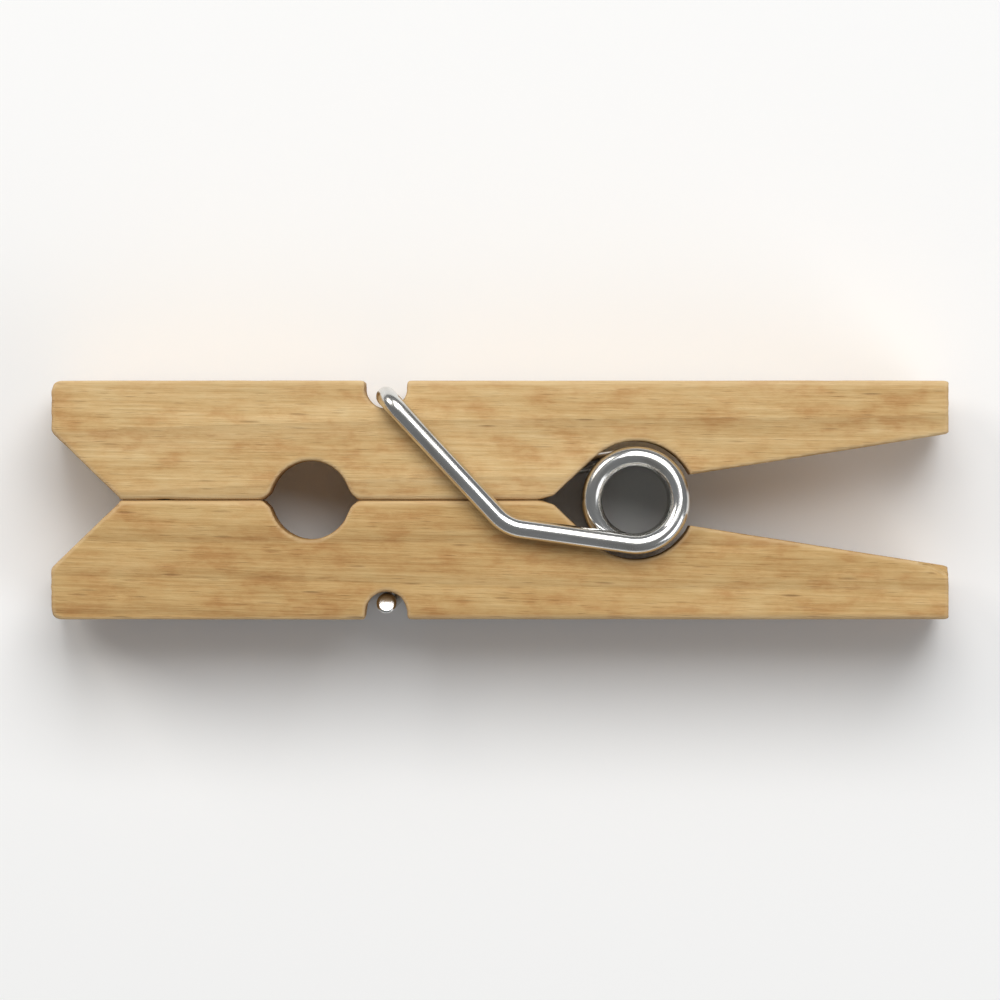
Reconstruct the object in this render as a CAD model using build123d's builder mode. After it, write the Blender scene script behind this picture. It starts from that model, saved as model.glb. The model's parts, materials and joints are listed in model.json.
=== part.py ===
from build123d import *
import os
from math import acos, atan, cos, degrees, pi, radians, sin

# A wooden spring clothespin, lying on its side with its jaws closed. It is three pieces: two equal
# wooden halves, and one torsion spring bent from a single length of round wire. The coil of the
# spring is the hinge, and its two hooks pull the halves together.
#
# +X runs along the pin towards the jaws, Y is across the seam between the halves, and +Z is up,
# along the coil. The origin is under the middle of the pin, at the level of what it lies on.
# Sizes are in millimetres and angles in degrees.

# Each wooden half, measured back from the jaw tips and out from the seam.
length = 45.0
half_height = 6.0
depth = 6.0
seam_gap = 0.06
mouth_length = 3.5
mouth_height = 3.4
tip_round = 0.5
line_hole_from_tip = 13.0
line_hole_radius = 1.95
line_hole_easing = 0.8
groove_from_tip = 16.8
groove_width = 2.0
groove_depth = 1.4
knee_from_tip = 24.3
coil_from_tip = 29.3
notch_ramp_length = 4.3
handle_end_height = 2.7

# The spring.
wire_diameter = 1.0
coil_bore = 3.4
smallest_turn_gap = 0.1
arm_lift = 8.0
elbow_from_coil = 6.2
elbow_radius = 2.0
hook_radius = 1.0
hook_reach = 4.7
ease_drop = 0.02

# Clearances between the spring and the wood.
coil_clearance = 0.25
arm_clearance = 0.25
hook_clearance = 0.08

# What follows from them.
wire_radius = wire_diameter / 2
coil_radius = coil_bore / 2 + wire_radius
notch_radius = coil_radius + wire_radius + coil_clearance
arm_level = depth / 2 + arm_clearance + wire_radius
mid_depth = arm_level + wire_radius
seam = seam_gap / 2

tip_x = length / 2
handle_x = -length / 2
pivot_x = tip_x - coil_from_tip
knee_x = tip_x - knee_from_tip
groove_x = tip_x - groove_from_tip
line_hole_x = tip_x - line_hole_from_tip


# One wooden half: a stick with a mouth, half of the line hole, a notch for the coil, a handle that
# tapers from its inner side, and a round-bottomed groove across its outer face for the hook.
with BuildPart() as left_half:
    with BuildSketch(Plane.XY.offset(mid_depth - depth / 2)) as left_outline:
        with BuildLine():
            Polyline(
                (tip_x - mouth_length, seam),
                (tip_x, mouth_height),
                (tip_x, half_height),
                (handle_x, half_height),
                (handle_x, half_height - handle_end_height),
                (knee_x, seam),
                close=True,
            )
        make_face()
        tip_corner = left_outline.vertices().group_by(Axis.Y)[-1].sort_by(Axis.X)[-1]
        fillet(tip_corner, tip_round)

        with Locations((line_hole_x, 0)):
            Circle(line_hole_radius, mode=Mode.SUBTRACT)
        mouth_corners = left_outline.vertices().group_by(Axis.Y)[0].sort_by(
            lambda corner: abs(corner.X - line_hole_x)
        )[:2]
        fillet(mouth_corners, line_hole_easing)

        # The notch is a teardrop: an arc round the coil, and a flat ramp that runs out of it
        # towards the jaws along the tangent.
        ramp_angle = acos(notch_radius / notch_ramp_length)
        with Locations((pivot_x, 0)):
            Circle(notch_radius, mode=Mode.SUBTRACT)
        with BuildLine():
            Polyline(
                (pivot_x, 0),
                (pivot_x + notch_ramp_length, 0),
                (pivot_x + notch_radius * cos(ramp_angle), notch_radius * sin(ramp_angle)),
                close=True,
            )
        make_face(mode=Mode.SUBTRACT)

        groove_centre = half_height - groove_depth + groove_width / 2
        with Locations((groove_x, groove_centre)):
            Circle(groove_width / 2, mode=Mode.SUBTRACT)
            Rectangle(groove_width, groove_depth, align=(Align.CENTER, Align.MIN), mode=Mode.SUBTRACT)
    extrude(amount=depth)

with BuildPart() as right_half:
    mirror(left_half.part, about=Plane.XZ)


# The spring is the same piece when it is turned over about the pin's long axis, so only its upper
# arm is drawn, from the tip of the hook to the coil. The lower arm is a turned copy of it.
top = mid_depth + arm_level
arm_lift_angle = radians(arm_lift)
whole_turns = int(2 * arm_level / (wire_diameter + smallest_turn_gap) - 0.5)
coil_turns = whole_turns + 0.5 + arm_lift / 180
coil_height = 2 * (arm_level - ease_drop)
coil_pitch = coil_height / coil_turns
climb = atan(coil_pitch / (2 * pi * coil_radius))
ease_length = ease_drop * sin(climb) / (1 - cos(climb))
hook_y = -(half_height - groove_depth + hook_clearance + wire_radius)
long_axis = Axis((0, 0, mid_depth), (1, 0, 0))
coil_axis = Axis((pivot_x, 0, 0), (0, 0, 1))


def along_arm(distance, height):
    """A point on the arm's straight run, this far from where it leaves the coil."""
    x = pivot_x + coil_radius * sin(arm_lift_angle) + distance * cos(arm_lift_angle)
    y = coil_radius * cos(arm_lift_angle) - distance * sin(arm_lift_angle)
    return (x, y, height)


with BuildPart() as spring:
    with BuildLine() as wire_path:
        arm = FilletPolyline(
            (groove_x, hook_y, mid_depth + depth / 2 - hook_reach),
            (groove_x, hook_y, top),
            along_arm(elbow_from_coil, top),
            along_arm(ease_length, top),
            radius=[hook_radius, elbow_radius],
        )
        TangentArc(arm @ 1, along_arm(0, top - ease_drop), tangent=arm % 1)
        add([edge.rotate(long_axis, 180) for edge in wire_path.edges()])
        coil = Helix(
            coil_pitch,
            coil_height,
            coil_radius,
            center=(pivot_x, 0, mid_depth - coil_height / 2),
            lefthand=True,
            mode=Mode.PRIVATE,
        )
        add(coil.rotate(coil_axis, arm_lift - 90))
    with BuildSketch(Plane(origin=arm @ 0, z_dir=arm % 0)):
        Circle(wire_radius)
    sweep(path=wire_path.wires()[0])


os.makedirs("parts", exist_ok=True)
left_half.part.label = "left_half"
right_half.part.label = "right_half"
spring.part.label = "spring"
export_step(left_half.part, "parts/left_half.step")
export_step(right_half.part, "parts/right_half.step")
export_step(spring.part, "parts/spring.step")

# How far the halves turn about the coil before their handle ends meet.
handle_end_y = half_height - handle_end_height
opening = 2 * degrees(atan(handle_end_y / (length - coil_from_tip)))
print(f"pivot x {pivot_x:.2f}, pin from z {mid_depth - depth / 2:.2f} to {mid_depth + depth / 2:.2f}")
print(f"wire {wire_path.wires()[0].length:.1f} long, coil of {coil_turns:.2f} turns")
print(f"the jaws turn open by {opening:.1f} degrees")
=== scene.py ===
# %% [markdown]
# # A wooden spring clothespin
#
# The pin is three pieces: two wooden halves, and one torsion spring bent from a single wire. The
# CAD model gives the sizes, the places and the hinge. This lesson models the three pieces again,
# with the softness, the tool marks and the finish that real ones have. It works in millimetres,
# because the pin is small, and turns each finished mesh to metres. The first cell loads the fixed
# frame.

# %% The frame
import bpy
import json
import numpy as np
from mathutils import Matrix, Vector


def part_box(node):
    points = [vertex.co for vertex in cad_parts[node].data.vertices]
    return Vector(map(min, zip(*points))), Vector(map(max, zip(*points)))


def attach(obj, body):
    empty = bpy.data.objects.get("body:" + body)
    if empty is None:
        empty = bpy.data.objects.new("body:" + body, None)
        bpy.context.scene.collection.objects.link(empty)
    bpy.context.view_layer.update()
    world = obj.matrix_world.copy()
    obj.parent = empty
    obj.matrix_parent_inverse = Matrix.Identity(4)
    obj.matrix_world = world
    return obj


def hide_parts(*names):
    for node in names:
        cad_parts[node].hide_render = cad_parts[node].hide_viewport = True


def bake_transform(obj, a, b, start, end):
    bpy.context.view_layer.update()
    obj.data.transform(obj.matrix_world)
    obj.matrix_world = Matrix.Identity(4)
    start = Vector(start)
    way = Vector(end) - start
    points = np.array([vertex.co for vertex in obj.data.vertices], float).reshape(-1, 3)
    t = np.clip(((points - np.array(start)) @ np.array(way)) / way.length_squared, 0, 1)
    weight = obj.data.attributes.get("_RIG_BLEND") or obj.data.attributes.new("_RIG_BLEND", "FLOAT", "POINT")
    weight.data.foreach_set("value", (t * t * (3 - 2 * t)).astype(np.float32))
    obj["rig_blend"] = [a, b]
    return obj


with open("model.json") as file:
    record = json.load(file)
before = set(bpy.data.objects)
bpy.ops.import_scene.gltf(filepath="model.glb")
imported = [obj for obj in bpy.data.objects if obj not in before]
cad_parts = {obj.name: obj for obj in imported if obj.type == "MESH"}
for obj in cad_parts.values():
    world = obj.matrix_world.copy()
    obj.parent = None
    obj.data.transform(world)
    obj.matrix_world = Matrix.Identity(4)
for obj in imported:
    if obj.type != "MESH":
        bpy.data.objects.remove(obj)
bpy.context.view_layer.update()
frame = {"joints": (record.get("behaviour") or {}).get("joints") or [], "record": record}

import json
import math
import random

import bmesh
import bpy
from mathutils import Matrix, Vector, geometry, noise

MM = 0.001

# %% [markdown]
# The box of a half gives the size of the stick that it is cut from. The line hole is a mount in
# the record, and the axis of the coil is the joint, so they are read and not typed. What is left
# is what a maker sets on the cutters: the mouth, the groove for the hook, the notch for the coil.

# %% Sizes of the wooden half
half_low, half_high = (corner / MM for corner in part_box("left_half"))
jaw_hinge = next(joint for joint in frame["joints"] if joint["name"] == "jaw_hinge")
line_grip = next(mount for mount in frame["record"]["mounts"] if mount["name"] == "line_grip")
coil_axis = Vector(jaw_hinge["pos_m"]) / MM
line_hole = Vector(line_grip["pos_m"]) / MM
line_hole_radius = line_grip["dims"]["r_mm"]

seam, outer_face = half_low.y, half_high.y
handle_end, jaw_tip = half_low.x, half_high.x
depth = half_high.z - half_low.z
mid_depth = (half_low.z + half_high.z) / 2

mouth_length = 3.5
mouth_height = 3.4
tip_round = 0.5
line_hole_easing = 0.8
groove_x = jaw_tip - 16.8
groove_width = 2.0
groove_depth = 1.4
knee_x = jaw_tip - 24.3
handle_end_height = 2.7
notch_radius = 2.95
notch_ramp_length = 4.3
print("stick:", [round(side, 2) for side in half_high - half_low])
print("coil axis at x", round(coil_axis.x, 2), "and line hole at x", round(line_hole.x, 2))

# %% [markdown]
# The outline of a half is drawn like a pen line: a vertex is extruded to the next corner for each
# straight cut, and spun about a centre for each round one. A curve object could draw it too, but
# these two operators keep the corners exactly where the cutters leave them. The finished loop is
# filled with one face and extruded through the depth of the stick.

# %% A pen that draws an outline
ARC_STEP = 6


def line_to(bm, pen, x, y):
    """Draws a straight cut from the pen's vertex to a point, and returns the new end."""
    end = bmesh.ops.extrude_vert_indiv(bm, verts=[pen])["verts"][0]
    end.co = (x, y, half_low.z)
    return end


def arc_to(bm, pen, centre, degrees):
    """Draws a round cut about a centre, counter-clockwise where the turn is positive."""
    spun = bmesh.ops.spin(
        bm, geom=[pen], cent=(centre[0], centre[1], half_low.z), axis=(0, 0, 1),
        angle=math.radians(degrees), steps=max(2, round(abs(degrees) / ARC_STEP)),
    )
    return next(part for part in spun["geom_last"] if isinstance(part, bmesh.types.BMVert))


# %% Where the cuts meet
handle_inner = outer_face - handle_end_height
ease_reach = line_hole_radius + line_hole_easing
ease_angle = math.degrees(math.asin((seam + line_hole_easing) / ease_reach))
ease_run = ease_reach * math.cos(math.radians(ease_angle))

coil = coil_axis.to_2d()
taper = Vector((handle_end, handle_inner)), Vector((knee_x, seam))
notch_crossings = geometry.intersect_line_sphere_2d(*taper, coil, notch_radius)
notch_start = min(notch_crossings, key=lambda crossing: crossing.x)
start_angle = math.atan2(notch_start.y - coil.y, notch_start.x - coil.x)
ramp_angle = math.acos(notch_radius / notch_ramp_length)
ramp_top = coil + notch_radius * Vector((math.cos(ramp_angle), math.sin(ramp_angle)))
ramp_foot = coil + Vector((notch_ramp_length, 0))
ramp_end = geometry.intersect_line_line_2d(ramp_top, ramp_foot, *taper)
print("the notch cuts the handle's taper at x", round(notch_start.x, 2))


# %% The outline of a half
def draw_half_outline(bm):
    """The outline of the left half, from the root of the mouth round to where it began."""
    first = bmesh.ops.create_vert(bm, co=(jaw_tip - mouth_length, seam, half_low.z))["vert"][0]
    pen = line_to(bm, first, jaw_tip, mouth_height)
    pen = line_to(bm, pen, jaw_tip, outer_face - tip_round)
    pen = arc_to(bm, pen, (jaw_tip - tip_round, outer_face - tip_round), 90)
    groove_r = groove_width / 2
    groove_y = outer_face - groove_depth + groove_r
    pen = line_to(bm, pen, groove_x + groove_r, outer_face)
    pen = line_to(bm, pen, groove_x + groove_r, groove_y)
    pen = arc_to(bm, pen, (groove_x, groove_y), -180)
    pen = line_to(bm, pen, groove_x - groove_r, outer_face)
    pen = line_to(bm, pen, handle_end, outer_face)
    pen = line_to(bm, pen, handle_end, handle_inner)
    pen = line_to(bm, pen, *notch_start)
    pen = arc_to(bm, pen, coil, -math.degrees(start_angle - ramp_angle))
    pen = line_to(bm, pen, *ramp_end)
    pen = line_to(bm, pen, knee_x, seam)
    ease_y = seam + line_hole_easing
    pen = line_to(bm, pen, line_hole.x - ease_run, seam)
    pen = arc_to(bm, pen, (line_hole.x - ease_run, ease_y), 90 - ease_angle)
    pen = arc_to(bm, pen, (line_hole.x, 0), -(180 - 2 * ease_angle))
    pen = arc_to(bm, pen, (line_hole.x + ease_run, ease_y), 90 - ease_angle)
    bm.edges.new((pen, first))
    bmesh.ops.contextual_create(bm, geom=list(bm.edges))
    print("outline:", len(bm.verts), "corners")


# %% [markdown]
# A real half is sawn and planed square, and then tumbled in a drum until its edges are soft.
# Bevels would give every edge the same radius, so the sharp stick is remeshed into an even skin of
# small quads and smoothed instead. Every point has a lightly and a heavily rubbed place, and a slow
# noise picks between them, because the drum wears some edges more than others. How far the rubbing
# moved a point is kept as an attribute, which the wood's colour reads later to paint a highlight, a
# paler rim, along the rubbed edges.

# %% An even skin on a sharp block
SKIN = 0.125


def even_skin(bm, name):
    """Remeshes a sharp shape into even quads, SKIN millimetres wide, as a new bmesh."""
    mesh = bpy.data.meshes.new(name)
    bm.to_mesh(mesh)
    bm.free()
    block = bpy.data.objects.new(name, mesh)
    bpy.context.scene.collection.objects.link(block)
    remesh = block.modifiers.new("even skin", "REMESH")
    remesh.mode = "VOXEL"
    remesh.voxel_size = SKIN
    evaluated = block.evaluated_get(bpy.context.evaluated_depsgraph_get())
    skin = bmesh.new()
    skin.from_mesh(evaluated.to_mesh())
    bpy.data.objects.remove(block)
    bpy.data.meshes.remove(mesh)
    return skin


# %% Tumbling
LIGHT_RUBS, HEAVY_RUBS = 1, 5
RUB_SHARE, RUB_DEPTH = 0.5, 0.05
WEAR_MEAN, WEAR_SPREAD, WEAR_PATCH = 0.5, 0.9, 3.5


def tumble(bm, seed):
    """Rubs the edges of a skin unevenly, and keeps how far each point went as an attribute."""
    edge = bm.verts.layers.float.new("edge")
    sharp = [vert.co.copy() for vert in bm.verts]
    bm.normal_update()
    normals = [vert.normal.copy() for vert in bm.verts]
    all_ways = {"use_axis_x": True, "use_axis_y": True, "use_axis_z": True}
    for rub in range(LIGHT_RUBS):
        bmesh.ops.smooth_vert(bm, verts=bm.verts, factor=RUB_SHARE, **all_ways)
    light = [vert.co.copy() for vert in bm.verts]
    for rub in range(HEAVY_RUBS):
        bmesh.ops.smooth_vert(bm, verts=bm.verts, factor=RUB_SHARE, **all_ways)
    for vert, before, lightly, normal in zip(bm.verts, sharp, light, normals):
        patch = noise.noise(before / WEAR_PATCH + Vector((seed, 0, 0)))
        worn = WEAR_MEAN + WEAR_SPREAD * patch
        vert[edge] = max(-1, min(1, (before - vert.co).dot(normal) / RUB_DEPTH))
        vert.co = lightly.lerp(vert.co, max(0, min(1, worn)))


# %% [markdown]
# Tools leave marks that catch the light. The planer leaves slow ripples across the side faces, the
# saw leaves the ends rough, and wood moves a little as it dries, so no face is quite flat. Every
# mark is a small move of the skin's points along their normals, in real fractions of a millimetre,
# and always inwards, so that the half keeps the size that the CAD model gives it.

# %% Tool marks
PLANER_PITCH, PLANER_DEPTH = 1.15, 0.006
PLANER_SKEW, PLANER_WANDER = 0.25, 0.3
FIBRE_LENGTH, FIBRE_WIDTH, FIBRE_DEPTH = 6.0, 0.38, 0.012
SAW_CELL, SAW_DEPTH = (2.0, 0.3, 1.4), 0.035
SWELL_PATCH, SWELL_DEPTH = 5.0, 0.03
FACING_POWER = 4
AWAY_X, AWAY_Y = 7.3, 3.1


def mark_with_tools(bm, seed):
    """Ripples the side faces, roughens the sawn ends and raises the fibres on the rest."""
    bm.normal_update()
    away = Vector((seed * AWAY_X, seed * AWAY_Y, 0))
    for vert in bm.verts:
        at, normal = vert.co + away, vert.normal
        fibre = noise.noise((at.x / FIBRE_LENGTH, at.y / FIBRE_WIDTH, at.z / FIBRE_WIDTH))
        swell = noise.noise(at / SWELL_PATCH)
        planed = at.x + PLANER_SKEW * at.y + PLANER_WANDER * swell
        ripple = math.sin(2 * math.pi * planed / PLANER_PITCH)
        saw = noise.noise([place / cell for place, cell in zip(at, SAW_CELL)])
        side, end = abs(normal.z) ** FACING_POWER, abs(normal.x) ** FACING_POWER
        hollow = FIBRE_DEPTH * (1 - fibre) + SWELL_DEPTH * (1 - swell) / 2
        hollow += PLANER_DEPTH * (1 - ripple) * side + SAW_DEPTH * (1 - saw) * end
        vert.co -= normal * hollow


# %% [markdown]
# Handling dents soft wood, and a cutter that comes out across the grain tears it. A dent is a
# smooth hollow pressed in round a point of the skin. A tear is a ragged bite beside the groove,
# where the cutter came out. A chip is a corner that split off: the points beyond a slanted plane
# fall back onto it. Sculpting by hand gives the same marks, but not the same ones each time.

# %% Dents
DENTS = 16
DENT_RADIUS = 0.25, 0.7
DENT_HOLLOW = 0.03, 0.07


def dent(bm, seed):
    """Presses small hollows into the skin at random points."""
    dice = random.Random(seed)
    bm.verts.ensure_lookup_table()
    bm.normal_update()
    for press in range(DENTS):
        struck = bm.verts[dice.randrange(len(bm.verts))]
        centre, inward = struck.co.copy(), -struck.normal.copy()
        radius, hollow = dice.uniform(*DENT_RADIUS), dice.uniform(*DENT_HOLLOW)
        for vert in bm.verts:
            offset = vert.co - centre
            if offset.length_squared < (2 * radius) ** 2:
                vert.co += inward * hollow * math.exp(-offset.length_squared / radius ** 2)


# %% Tears and chips
TEAR_DEPTH, TEAR_LENGTH, TEAR_HEIGHT = 0.16, 1.6, 0.5
TORN_CELL = 1.8, 0.5, 0.32
SPLINTER_DEPTH, SPLINTER_LENGTH, SPLINTER_WIDTH = 0.14, 1.5, 0.25


def tear(bm, seed):
    """Bites ragged fibres out beside the groove, on the side where the cutter came out."""
    length, height, thickness = TORN_CELL
    for vert in bm.verts:
        at = vert.co
        past_wall = groove_x - groove_width / 2 - at.x
        if 0 < past_wall < TEAR_LENGTH and abs(at.y) > outer_face - TEAR_HEIGHT:
            ragged = noise.noise((at.x / length + seed, at.y / height, at.z / thickness))
            bite = TEAR_DEPTH * max(0, ragged) * (1 - past_wall / TEAR_LENGTH) ** 2
            vert.co.y -= math.copysign(bite, at.y)


def chip(bm, corner, split, seed):
    """Splits a corner off: points beyond the plane through corner - split fall back onto it."""
    foot, outward = corner - split, split.normalized()
    for vert in bm.verts:
        at = vert.co
        beyond = (at - foot).dot(outward)
        splinter = SPLINTER_DEPTH * noise.noise((
            at.x / SPLINTER_LENGTH, at.y / SPLINTER_WIDTH + seed, at.z / SPLINTER_WIDTH,
        ))
        if beyond + splinter > 0:
            vert.co -= outward * (beyond + splinter)


# %% [markdown]
# On a closed pin the two seam faces touch, and no light passes between them. The CAD model keeps
# them a little apart, and the tool marks have hollowed them further. So they come together again,
# to a hair's breadth, everywhere but along their softened edges.

# %% Closing the seam
SEAM_TOUCH, SEAM_EDGE = 0.004, 0.4
SEAM_FACE, SEAM_FADE = 0.08, 0.16


def close_seam(bm):
    """Brings the seam face to SEAM_TOUCH from the middle plane, and less so near its edges."""
    for vert in bm.verts:
        away = abs(vert.co.y)
        if away < SEAM_FADE:
            under = min(vert.co.z - half_low.z, half_high.z - vert.co.z)
            inner = max(0, min(1, under / SEAM_EDGE))
            share = inner * min(1, (SEAM_FADE - away) / (SEAM_FADE - SEAM_FACE))
            vert.co.y = math.copysign(away + share * (SEAM_TOUCH - away), vert.co.y)


# %% [markdown]
# Both halves come from the same cutters, so one function makes either. The right half is the left
# one mirrored through the seam. Mirroring turns the faces inside out, so the normals are worked out
# again before the skin is made. A seed gives each stick its own wear.

# %% Cutting a half
def to_metres(bm, name):
    """Writes a finished bmesh, in millimetres, as an object in metres."""
    bmesh.ops.scale(bm, vec=(MM, MM, MM), verts=bm.verts)
    mesh = bpy.data.meshes.new(name)
    bm.to_mesh(mesh)
    bm.free()
    for polygon in mesh.polygons:
        polygon.use_smooth = True
    piece = bpy.data.objects.new(name, mesh)
    bpy.context.scene.collection.objects.link(piece)
    print(name, "has", len(mesh.polygons), "faces")
    return piece


def cut_half(name, side, seed, chips):
    """Cuts one half: side is 1 for the left half and -1 for the right one."""
    block = bmesh.new()
    draw_half_outline(block)
    raised = bmesh.ops.extrude_face_region(block, geom=list(block.faces))["geom"]
    lid = [part for part in raised if isinstance(part, bmesh.types.BMVert)]
    bmesh.ops.translate(block, verts=lid, vec=(0, 0, depth))
    bmesh.ops.scale(block, vec=(1, side, 1), verts=block.verts)
    bmesh.ops.recalc_face_normals(block, faces=block.faces)
    skin = even_skin(block, name)
    tumble(skin, seed)
    mark_with_tools(skin, seed)
    tear(skin, seed)
    dent(skin, seed)
    for corner, split in chips:
        chip(skin, Vector(corner), Vector(split), seed)
    close_seam(skin)
    return to_metres(skin, name)


# %% [markdown]
# Finishes are built from nodes. Colours are written as they look on a screen, as sRGB hex values,
# and one function turns them to the linear values that the shader works in. One more function adds
# a node, sets it up and links it, so that a material reads as a list of what it is made of.

# %% Helpers for finishes
def linear(hex_colour):
    """An sRGB colour such as "#caa97a" as linear red, green, blue and alpha."""
    shown = [int(hex_colour[start:start + 2], 16) / 255 for start in (1, 3, 5)]
    return [c / 12.92 if c <= 0.04045 else ((c + 0.055) / 1.055) ** 2.4 for c in shown] + [1.0]


def add_node(tree, kind, inputs=None, stops=None, **settings):
    """Adds a node. inputs gives its sockets values or other nodes' outputs; stops fill a ramp."""
    node = tree.nodes.new(kind)
    for name, value in settings.items():
        setattr(node, name, value)
    for socket, value in (inputs or {}).items():
        if isinstance(value, bpy.types.NodeSocket):
            tree.links.new(value, node.inputs[socket])
        else:
            node.inputs[socket].default_value = value
    for place, (position, hex_colour) in enumerate(stops or []):
        ramp = node.color_ramp.elements
        stop = ramp[place] if place < len(ramp) else ramp.new(position)
        stop.position, stop.color = position, linear(hex_colour)
    return node


def new_finish(name):
    """A new material, with its node tree and its shader."""
    finish = bpy.data.materials.new(name)
    finish.use_nodes = True
    return finish, finish.node_tree, finish.node_tree.nodes["Principled BSDF"]


# %% [markdown]
# The halves are birch, a pale and even wood with fine pores. All of its figure is one solid
# pattern on Object coordinates, so sides and ends agree, as in a real stick. The pith of the tree
# lies outside the stick, parallel to it but for a small tilt. Each kind of mark has a cell, as long
# along the grain and as wide across it as the real mark is in millimetres. The pores and hairlines
# are drawn about twice as wide as in real birch, where they are too thin to show in a render.

# %% Marks in the wood, in millimetres
RING_WIDTH = 1.5
CELLS = {
    "fibre": (8.0, 0.15, 0.15),
    "tone": (16.0, 2.6, 2.6),
    "mottle": (2.4, 1.1, 1.1),
    "pore": (2.4, 0.3, 0.3),
    "hairline": (1.3, 0.12, 0.12),
    "saw scratch": (0.12, 0.5, 4.0),
}


def place_in_tree(tree, pith, tilt):
    """Coordinates of a stick whose pith lies off by some millimetres, and of each mark's cells."""
    stick = add_node(tree, "ShaderNodeMapping", {
        "Vector": add_node(tree, "ShaderNodeTexCoord").outputs["Object"],
        "Location": [MM * side for side in pith],
        "Rotation": [math.radians(turn) for turn in tilt],
    }).outputs["Vector"]
    cells = {
        mark: add_node(tree, "ShaderNodeMapping", {
            "Vector": stick, "Scale": [1 / (side * MM) for side in size],
        }).outputs["Vector"]
        for mark, size in CELLS.items()
    }
    return stick, cells


# %% [markdown]
# A tree grows quickly in spring and stops for the winter, so each ring starts pale and ends in a
# thin darker line. Rings run the length of the stick as faint stripes, and cross its ends as arcs.
# They could be drawn as stripes on each face, but a Wave texture of rings round the pith gives
# both at once. It repeats every pi / 10 at a scale of 1, so its scale is that over the width of a
# ring. A ring wavers little along the stick, so the pattern is stretched tenfold that way. Between
# the lines the tone drifts slowly, and the fibres shimmer.

# %% Growth rings, fibres and tone
RING_SHARE = 0.3
FIBRE_SHARE = 0.6


def ringed_wood(tree, stick, cells, light, middle, dark):
    """The colour of the wood under its pores, and how high its fibres stand."""
    stretched = add_node(tree, "ShaderNodeMapping", {"Vector": stick, "Scale": (0.1, 1, 1)})
    rings = add_node(
        tree, "ShaderNodeTexWave",
        {"Vector": stretched.outputs["Vector"], "Scale": math.pi / 10 / (RING_WIDTH * MM),
         "Distortion": 5.0, "Detail": 3.0, "Detail Scale": 0.35, "Detail Roughness": 0.55},
        wave_type="RINGS", rings_direction="X", wave_profile="SAW",
    ).outputs["Fac"]
    fibres = add_node(tree, "ShaderNodeTexNoise", {
        "Vector": cells["fibre"], "Scale": 1.0, "Detail": 5.0, "Roughness": 0.72,
    }).outputs["Fac"]
    tone = add_node(tree, "ShaderNodeTexNoise", {
        "Vector": cells["tone"], "Scale": 1.0, "Detail": 3.0, "Roughness": 0.5,
    }).outputs["Fac"]
    drift = add_node(
        tree, "ShaderNodeMix", {0: FIBRE_SHARE, 2: tone, 3: fibres}, data_type="FLOAT",
    )
    body = add_node(
        tree, "ShaderNodeValToRGB", {"Fac": drift.outputs[0]},
        stops=[(0.36, dark), (0.5, middle), (0.64, light)],
    )
    winter_line = add_node(
        tree, "ShaderNodeValToRGB", {"Fac": rings},
        stops=[(0.0, "#f2f2f2"), (0.08, "#ffffff"), (0.6, "#f3f2f1"), (0.96, "#bdb7ae")],
    )
    colour = add_node(
        tree, "ShaderNodeMix",
        {0: RING_SHARE, 6: body.outputs["Color"], 7: winter_line.outputs["Color"]},
        data_type="RGBA", blend_type="MULTIPLY",
    )
    return colour.outputs[2], fibres


# %% [markdown]
# Pores are fine tubes along the grain. A planed face opens them as short dashes, and a sawn end
# as dots. A Voronoi texture gives both from one set of cells drawn out along the grain: the
# distance to a cell's centre shapes the dash, and the cell's random colour says how deep it is, if
# it is there at all. A few pores are wide and dark, and between them the face is full of hairlines.

# %% Pores and hairlines
PORES = {"pore": (0.5, 0.27, 1.0), "hairline": (0.1, 0.36, 0.38)}


def open_pores(tree, cells):
    """How open the pores are at each point, from 0 to 1."""
    total = 0.0
    for mark, (share_without, half_width, strength) in PORES.items():
        tube = add_node(tree, "ShaderNodeTexVoronoi", {"Vector": cells[mark], "Scale": 1.0})
        dash = add_node(tree, "ShaderNodeMapRange", {
            "Value": tube.outputs["Distance"],
            "From Min": half_width / 3, "From Max": half_width, "To Min": strength, "To Max": 0.0,
        })
        chance = add_node(tree, "ShaderNodeSeparateColor", {0: tube.outputs["Color"]})
        depth_here = add_node(tree, "ShaderNodeMapRange", {
            "Value": chance.outputs[0], "From Min": share_without, "From Max": 1.0,
        })
        total = add_node(
            tree, "ShaderNodeMath", {0: dash.outputs[0], 1: depth_here.outputs[0], 2: total},
            operation="MULTIPLY_ADD", use_clamp=True,
        ).outputs[0]
    return total


# %% [markdown]
# Sawn ends are darker than planed sides, because end grain drinks in light, and the saw leaves fine
# scratches across them. The ends are found by the X of the Object normal, which is 1 or -1 on an
# end, 0 on a side and in between on the slanted mouth.

# %% Sawn ends
END_DARKNESS = 0.6


def sawn_ends(tree, cells, colour):
    """The colour with its ends darkened, and how high the scratches stand."""
    facing = add_node(tree, "ShaderNodeSeparateXYZ", {
        0: add_node(tree, "ShaderNodeTexCoord").outputs["Normal"],
    })
    end_grain = add_node(
        tree, "ShaderNodeMath", {0: facing.outputs["X"], 1: 2.0}, operation="POWER",
    ).outputs[0]
    scratch = add_node(tree, "ShaderNodeTexNoise", {
        "Vector": cells["saw scratch"], "Scale": 1.0, "Detail": 4.0, "Roughness": 0.6,
    }).outputs["Fac"]
    scratched = add_node(
        tree, "ShaderNodeValToRGB", {"Fac": scratch},
        stops=[(0.35, "#b4946a"), (0.5, "#cbae86"), (0.65, "#dcc4a0")],
    )
    share = add_node(
        tree, "ShaderNodeMath", {0: end_grain, 1: END_DARKNESS}, operation="MULTIPLY",
    )
    darkened = add_node(
        tree, "ShaderNodeMix", {0: share.outputs[0], 6: colour, 7: scratched.outputs["Color"]},
        data_type="RGBA", blend_type="MULTIPLY",
    )
    height = add_node(
        tree, "ShaderNodeMath", {0: scratch, 1: end_grain}, operation="MULTIPLY",
    )
    return darkened.outputs[2], height.outputs[0]
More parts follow.
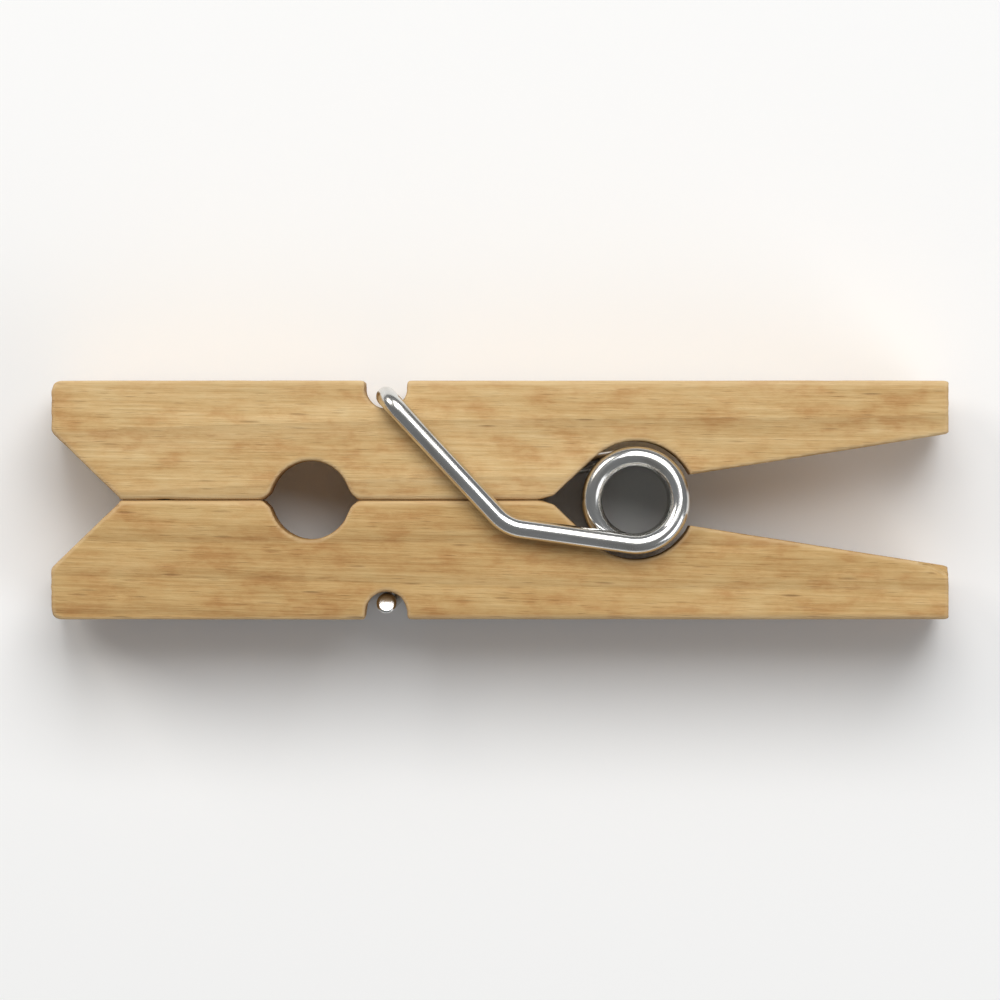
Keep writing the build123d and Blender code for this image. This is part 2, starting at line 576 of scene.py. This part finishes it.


# %% [markdown]
# The finish puts these together. Over them lies the mottle, the broken shimmer of planed birch,
# a little redder where it is darker. Edges that the drum rubbed are painted a little paler: a painted
# highlight where real edges would catch the light. In relief, the fibres stand a few hundredths of a
# millimetre proud and the pores sink in. The wood is bare, so it is rough all over, with a faint sheen
# where the planer's knife burnished the fibres.

# %% Planed birch
# The third share sets how strongly the rubbed edges are painted paler, as a painted highlight.
PORE_SHARE, MOTTLE_SHARE, EDGE_HIGHLIGHT_SHARE = 0.6, 0.85, 0.3
PORE_HEIGHT, MOTTLE_HEIGHT, SCRATCH_HEIGHT = -0.8, 0.4, 1.6
RELIEF, RELIEF_STRENGTH = 0.06, 0.8


def planed_birch(name, pith, tilt, light, middle, dark):
    """Bare planed birch, from one place in one tree, in three tones."""
    finish, tree, shader = new_finish(name)
    stick, cells = place_in_tree(tree, pith, tilt)
    colour, fibres = ringed_wood(tree, stick, cells, light, middle, dark)
    pores = open_pores(tree, cells)
    pore_tint = add_node(tree, "ShaderNodeMath", {0: pores, 1: PORE_SHARE}, operation="MULTIPLY")
    pored = add_node(
        tree, "ShaderNodeMix", {0: pore_tint.outputs[0], 6: colour, 7: linear("#8f673e")},
        data_type="RGBA",
    )
    mottle = add_node(tree, "ShaderNodeTexNoise", {
        "Vector": cells["mottle"], "Scale": 1.0, "Detail": 4.0, "Roughness": 0.65,
    }).outputs["Fac"]
    shimmer = add_node(
        tree, "ShaderNodeValToRGB", {"Fac": mottle},
        stops=[(0.34, "#e7cfb8"), (0.5, "#f9f1e8"), (0.66, "#ffffff")],
    )
    mottled = add_node(
        tree, "ShaderNodeMix",
        {0: MOTTLE_SHARE, 6: pored.outputs[2], 7: shimmer.outputs["Color"]},
        data_type="RGBA", blend_type="MULTIPLY",
    )
    ended, scratches = sawn_ends(tree, cells, mottled.outputs[2])
    # Painted highlight: the rubbed edges are painted paler, towards #e6cda4, by how far the rubbing moved
    # them.
    painted_edge_highlight = add_node(tree, "ShaderNodeMapRange", {
        "Value": add_node(tree, "ShaderNodeAttribute", attribute_name="edge").outputs["Fac"],
        "From Min": 0.25, "From Max": 1.0, "To Min": 0.0, "To Max": EDGE_HIGHLIGHT_SHARE,
    })
    with_edge_highlight = add_node(
        tree, "ShaderNodeMix", {0: painted_edge_highlight.outputs[0], 6: ended, 7: linear("#e6cda4")},
        data_type="RGBA",
    )

    height = fibres
    for layer, amount in (
        (pores, PORE_HEIGHT), (mottle, MOTTLE_HEIGHT), (scratches, SCRATCH_HEIGHT),
    ):
        height = add_node(
            tree, "ShaderNodeMath", {0: layer, 1: amount, 2: height}, operation="MULTIPLY_ADD",
        ).outputs[0]
    bump = add_node(tree, "ShaderNodeBump", {
        "Height": height, "Strength": RELIEF_STRENGTH, "Distance": RELIEF * MM,
    })
    sheen = add_node(tree, "ShaderNodeMapRange", {
        "Value": fibres, "From Min": 0.3, "From Max": 0.7, "To Min": 0.78, "To Max": 0.6,
    })
    tree.links.new(with_edge_highlight.outputs[2], shader.inputs["Base Color"])
    tree.links.new(sheen.outputs[0], shader.inputs["Roughness"])
    tree.links.new(bump.outputs["Normal"], shader.inputs["Normal"])
    shader.inputs["IOR"].default_value = 1.5
    shader.inputs["Specular IOR Level"].default_value = 0.35
    print(name, "is made of", len(tree.nodes), "nodes")
    return finish


# %% [markdown]
# Two halves rarely come from one board, so one is browner than the other, and its grain runs
# another way. The browner one has lost the inner corner of its handle, where the saw came out.

# %% The two halves
left_half = cut_half(
    "left_half_wood", 1, 3,
    chips=[((handle_end, handle_inner, half_high.z), (-0.25, -0.45, 0.3))],
)
right_half = cut_half("right_half_wood", -1, 8, chips=[])
left_half.data.materials.append(planed_birch(
    "planed_birch_brown", pith=(0, 46, 31), tilt=(0, 1.1, 1.6),
    light="#d8b780", middle="#c9a76f", dark="#b58f59",
))
right_half.data.materials.append(planed_birch(
    "planed_birch_pale", pith=(40, -28, 52), tilt=(0, -1.5, 0.8),
    light="#e3c591", middle="#d4b47e", dark="#c3a069",
))

# %% [markdown]
# The spring is bent from one wire as a spring machine bends it: the wire is fed forward, and bent
# round a tool. Feeding is an extrusion of the ring at the wire's end, and bending is a spin of the
# same ring, with a drop at each step for the coil. A bevelled curve could make it too, but a ring
# pushed along keeps two facts that the finish needs: how far along the wire a point is, and where
# round the wire it is.

# %% Sizes of the spring
spring_low, spring_high = (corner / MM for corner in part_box("spring"))
wire_radius = 0.5
hook_reach = 4.7
hook_radius = 1.0
elbow_from_coil = 6.2
elbow_radius = 2.0
arm_lift = math.radians(8)
whole_turns = 6

arm_z = spring_high.z - wire_radius
hook_x = spring_high.x - wire_radius
hook_y = spring_low.y + wire_radius
coil_radius = coil_axis.x - spring_low.x - wire_radius
coil_degrees = 360 * (whole_turns + 0.5) + 2 * math.degrees(arm_lift)
coil_drop = 2 * (arm_z - mid_depth)
print("coil radius", round(coil_radius, 2), "turns", round(coil_degrees / 360, 2))

# %% Feeding the wire
RING_SIDES = 24
RING_STEP = 0.22


def next_ring(bm, made, distance):
    """The edges of the ring that an operator made, their distance along the wire moved on."""
    along = bm.verts.layers.float["along"]
    for vert in (part for part in made if isinstance(part, bmesh.types.BMVert)):
        vert[along] += distance
    return [part for part in made if isinstance(part, bmesh.types.BMEdge)]


def feed(bm, ring, direction, length):
    """Feeds the wire straight on, and returns its new end ring."""
    steps = max(1, round(length / RING_STEP))
    for step in range(steps):
        made = bmesh.ops.extrude_edge_only(bm, edges=ring)["geom"]
        moved = [part for part in made if isinstance(part, bmesh.types.BMVert)]
        bmesh.ops.translate(bm, verts=moved, vec=direction * (length / steps))
        ring = next_ring(bm, made, length / steps)
    return ring


# %% Bending the wire
BEND_STEP = 6


def bend(bm, ring, centre, axis, degrees, radius, drop=0):
    """Bends the wire round a tool, sinking by drop in all, and returns its new end ring."""
    steps = max(2, round(abs(degrees) / BEND_STEP))
    for step in range(steps):
        made = bmesh.ops.spin(
            bm, geom=ring, cent=centre, axis=axis, dvec=(0, 0, -drop / steps),
            angle=math.radians(degrees / steps), steps=1,
        )["geom_last"]
        ring = next_ring(bm, made, math.radians(abs(degrees) / steps) * radius)
    return ring


# %% [markdown]
# The wire is the same from both ends, so half of it is bent, from the tip of the hook to the
# middle of the coil. The first ring is turned until one of its corners faces along the arm. The
# bends then bring that corner to the bottom of the coil's wire, which matters at the join.

# %% Where the wire turns
up = Vector((0, 0, 1))
run_out = Vector((math.cos(arm_lift), -math.sin(arm_lift), 0))
leaves_coil = Vector((
    coil_axis.x + coil_radius * math.sin(arm_lift), coil_radius * math.cos(arm_lift), arm_z,
))
elbow = leaves_coil + elbow_from_coil * run_out
hook_top = Vector((hook_x, hook_y, arm_z))
hook_tip = Vector((hook_x, hook_y, half_high.z - hook_reach))
slant = (elbow - hook_top).normalized()

elbow_turn = slant.angle(-run_out)
cut_back = elbow_radius * math.tan(elbow_turn / 2)
turn_side = math.copysign(1, slant.cross(-run_out).z)
hook_centre = hook_top - hook_radius * up + hook_radius * slant
elbow_centre = elbow - slant * cut_back + turn_side * elbow_radius * up.cross(slant)
print("the elbow turns by", round(math.degrees(elbow_turn)), "degrees")

# %% Half of the spring
wire = bmesh.new()
along = wire.verts.layers.float.new("along")
around = wire.verts.layers.float_vector.new("around")
first_ring = bmesh.ops.create_circle(
    wire, cap_ends=False, segments=RING_SIDES, radius=wire_radius,
)["verts"]
for vert in first_ring:
    vert[around] = vert.co.normalized()
face_the_slant = Vector((0, 1, 0)).rotation_difference(slant).to_matrix()
bmesh.ops.rotate(wire, verts=first_ring, cent=(0, 0, 0), matrix=face_the_slant)
bmesh.ops.translate(wire, verts=first_ring, vec=hook_tip)

ring = feed(wire, list(wire.edges), up, arm_z - hook_tip.z - hook_radius)
ring = bend(wire, ring, hook_centre, up.cross(slant), 90, hook_radius)
ring = feed(wire, ring, slant, (elbow - hook_top).length - hook_radius - cut_back)
ring = bend(wire, ring, elbow_centre, up, turn_side * math.degrees(elbow_turn), elbow_radius)
ring = feed(wire, ring, -run_out, elbow_from_coil - cut_back)
bend(wire, ring, coil_axis, up, coil_degrees / 2, coil_radius, drop=coil_drop / 2)
wire_length = 2 * max(vert[along] for vert in wire.verts)
print("half the wire:", len(wire.verts) // RING_SIDES, "rings,", round(wire_length / 2, 1), "mm")

# %% [markdown]
# The other half is a copy turned over about the pin's long axis. Where the halves meet, the corners
# of their rings fall on each other and are welded. The copy counts its distances on from the
# middle, and counts round the wire the other way, so that the finish runs through the join. Shears
# cut a tip off at a slight slant, and the plater's barrel eases its rim. A thin inset rim round
# each cut face keeps its shading flat.

# %% The other half, and the tips
WELD_REACH = 0.02
TIP_EASING, TIP_RIM = 0.14, 0.02
SHEAR_SLANT = math.tan(math.radians(15))

half_the_wire = list(wire.verts) + list(wire.edges) + list(wire.faces)
copied = bmesh.ops.duplicate(wire, geom=half_the_wire)["geom"]
turned = [part for part in copied if isinstance(part, bmesh.types.BMVert)]
middle = Vector((coil_axis.x, 0, mid_depth))
bmesh.ops.rotate(wire, verts=turned, cent=middle, matrix=Matrix.Rotation(math.pi, 3, "X"))
for vert in turned:
    vert[along] = wire_length - vert[along]
    vert[around].y *= -1
bmesh.ops.remove_doubles(wire, verts=wire.verts, dist=WELD_REACH)

sheared = [edge for edge in wire.edges if edge.is_boundary]
bmesh.ops.edgeloop_fill(wire, edges=sheared)
bmesh.ops.recalc_face_normals(wire, faces=wire.faces)
for vert in {vert for edge in sheared for vert in edge.verts}:
    vert.co.z += SHEAR_SLANT * (vert.co.y - math.copysign(hook_y, vert.co.y))
bmesh.ops.bevel(
    wire, geom=sheared, offset=TIP_EASING, offset_type="OFFSET", segments=4, profile=0.5,
    affect="EDGES", material=-1,
)
cut_faces = [face for face in wire.faces if len(face.verts) == RING_SIDES]
bmesh.ops.inset_individual(wire, faces=cut_faces, thickness=TIP_RIM, use_even_offset=True)
print("wire:", round(wire_length, 1), "mm long, with", len(cut_faces), "sheared tips")
spring = to_metres(wire, "spring_wire")


# %% [markdown]
# Spring wire is carbon steel drawn through a die and plated bright. Drawing leaves hair lines that
# run along the wire, and plating leaves a sharp, slightly cloudy mirror. The pattern has to follow
# the wire through its bends, so it reads the two attributes that were kept while it was bent. The
# lines are drawn about five times as wide as real ones, which are too fine to show in a render.

# %% Bright plated wire
DRAWN_LENGTH, DRAWN_LINE = 9.0, 0.05
CLOUD_LENGTH, CLOUD_WIDTH = 2.2, 0.6
SCORE_DEPTH, SCORE_STRENGTH = 0.01, 0.25


def bright_plated_wire(name):
    """Bright plated steel wire, with drawing lines along it and a faint cloud in the plating."""
    finish, tree, shader = new_finish(name)
    along = add_node(tree, "ShaderNodeAttribute", attribute_name="along").outputs["Fac"]
    around = add_node(tree, "ShaderNodeAttribute", attribute_name="around").outputs["Vector"]
    ring = add_node(tree, "ShaderNodeSeparateXYZ", {0: around})

    def pattern(length, width):
        """Coordinates with cells this long along the wire and this wide round it, in mm."""
        moved = add_node(tree, "ShaderNodeMath", {0: along, 1: 1 / length}, operation="MULTIPLY")
        sides = [
            add_node(
                tree, "ShaderNodeMath", {0: ring.outputs[axis], 1: wire_radius / width},
                operation="MULTIPLY",
            ) for axis in ("X", "Y")
        ]
        return add_node(tree, "ShaderNodeCombineXYZ", {
            0: moved.outputs[0], 1: sides[0].outputs[0], 2: sides[1].outputs[0],
        }).outputs[0]

    lines = add_node(tree, "ShaderNodeTexNoise", {
        "Vector": pattern(DRAWN_LENGTH, DRAWN_LINE), "Scale": 1.0, "Detail": 3.0,
    }).outputs["Fac"]
    cloud = add_node(tree, "ShaderNodeTexNoise", {
        "Vector": pattern(CLOUD_LENGTH, CLOUD_WIDTH), "Scale": 1.0, "Detail": 2.0, "Roughness": 0.5,
    }).outputs["Fac"]
    colour = add_node(
        tree, "ShaderNodeValToRGB", {"Fac": cloud},
        stops=[(0.3, "#c9c6bf"), (0.5, "#dddcd8"), (0.7, "#ebebe9")],
    )
    rough = add_node(tree, "ShaderNodeMapRange", {
        "Value": cloud, "From Min": 0.3, "From Max": 0.7, "To Min": 0.26, "To Max": 0.14,
    })
    bump = add_node(tree, "ShaderNodeBump", {
        "Height": lines, "Strength": SCORE_STRENGTH, "Distance": SCORE_DEPTH * MM,
    })
    tree.links.new(colour.outputs["Color"], shader.inputs["Base Color"])
    tree.links.new(rough.outputs[0], shader.inputs["Roughness"])
    tree.links.new(bump.outputs["Normal"], shader.inputs["Normal"])
    shader.inputs["Metallic"].default_value = 1.0
    print(name, "is made of", len(tree.nodes), "nodes")
    return finish


spring.data.materials.append(bright_plated_wire("bright_plated_wire"))

# %% [markdown]
# Each piece takes the place of its CAD node, which is hidden, and rides with that node's body. The
# spring is the one piece that crosses the hinge: its upper hook holds the right half and its lower
# hook the left one, and the coil winds up in between. Bones could bend it, but a blend from one body
# to the other is all that it needs. The line of the blend is tilted until the whole upper arm lies
# before its start and the whole lower arm beyond its end.

# %% Riding with the bodies
for piece, node, slot in (
    (left_half, "left_half", "wood"),
    (right_half, "right_half", "wood"),
    (spring, "spring", "spring_wire"),
):
    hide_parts(node)
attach(left_half, "left_jaw")
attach(right_half, "right_jaw")

BLEND_LINE = Vector((0, 0.556, -0.831))
BLEND_REACH = 1.2
hinge_point = Vector(jaw_hinge["pos_m"])
reach = BLEND_LINE.normalized() * BLEND_REACH * MM
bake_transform(spring, "right_jaw", "left_jaw", start=hinge_point - reach, end=hinge_point + reach)
print("the spring turns from one half's motion to the other's within", 2 * BLEND_REACH, "mm")

# %% [markdown]
# A small thing is shown on a sheet of white paper, under a large softbox. Polished wire shows
# little but what it mirrors, so the softbox hangs above and a little beyond the pin, where the top
# of the wire mirrors it as one bright line between darker edges. It also shades the near side of
# the pin. A small lamp at each side, one warm and one cool, opens the shadows and rakes the grain.

# %% The floor
FLOOR_HALF_WIDTH = 1.5
ground = bmesh.new()
bmesh.ops.create_grid(ground, x_segments=1, y_segments=1, size=FLOOR_HALF_WIDTH)
floor_mesh = bpy.data.meshes.new("floor")
ground.to_mesh(floor_mesh)
ground.free()
floor = bpy.data.objects.new("floor", floor_mesh)
bpy.context.scene.collection.objects.link(floor)
paper, _, paper_shader = new_finish("matt_white_paper")
paper_shader.inputs["Base Color"].default_value = linear("#f6f6f5")
paper_shader.inputs["Roughness"].default_value = 0.9
floor_mesh.materials.append(paper)
print("floor:", round(floor.dimensions.x, 2), "m wide")

# %% The lights
def soft_light(name, place, size, power, colour):
    """A square soft light at a place in metres, aimed at the pin."""
    light = bpy.data.lights.new(name, "AREA")
    light.size, light.energy, light.color = size, power, linear(colour)[:3]
    lamp = bpy.data.objects.new(name, light)
    lamp.location = place
    aim = Vector((0, 0, mid_depth * MM)) - lamp.location
    lamp.rotation_euler = aim.to_track_quat("-Z", "Y").to_euler()
    bpy.context.scene.collection.objects.link(lamp)
    print(name, "hangs", round(lamp.location.length, 2), "m off")


soft_light("overhead softbox", (-0.06, -0.29, 0.48), 0.40, 2.55, "#ffffff")
soft_light("key light", (0.26, -0.20, 0.22), 0.16, 0.4, "#fffaf3")
soft_light("fill light", (-0.30, 0.16, 0.20), 0.20, 0.3, "#f6f9ff")
sky = bpy.data.worlds.new("studio")
sky.use_nodes = True
sky.node_tree.nodes["Background"].inputs["Color"].default_value = linear("#dfe1e4")
sky.node_tree.nodes["Background"].inputs["Strength"].default_value = 0.25
bpy.context.scene.world = sky
bpy.context.scene.view_settings.view_transform = "Standard"

# %% [markdown]
# The camera looks straight down, with the jaws to the left. It could stand close with a wide lens,
# but a long lens from far off keeps the sides of the pin from showing, as they hardly do when a pin
# is seen from high above.

# %% The camera
CAMERA_HEIGHT = 0.42
FRAME_WIDTH = 50 * MM
lens = bpy.data.cameras.new("camera")
lens.sensor_width = 36
lens.lens = lens.sensor_width * (CAMERA_HEIGHT - half_high.z * MM) / FRAME_WIDTH
lens.clip_start = 0.01
camera = bpy.data.objects.new("camera", lens)
camera.location = (0, 0, CAMERA_HEIGHT)
camera.rotation_euler = (0, 0, math.pi)
bpy.context.scene.collection.objects.link(camera)
bpy.context.scene.camera = camera
print("lens:", round(lens.lens), "mm")
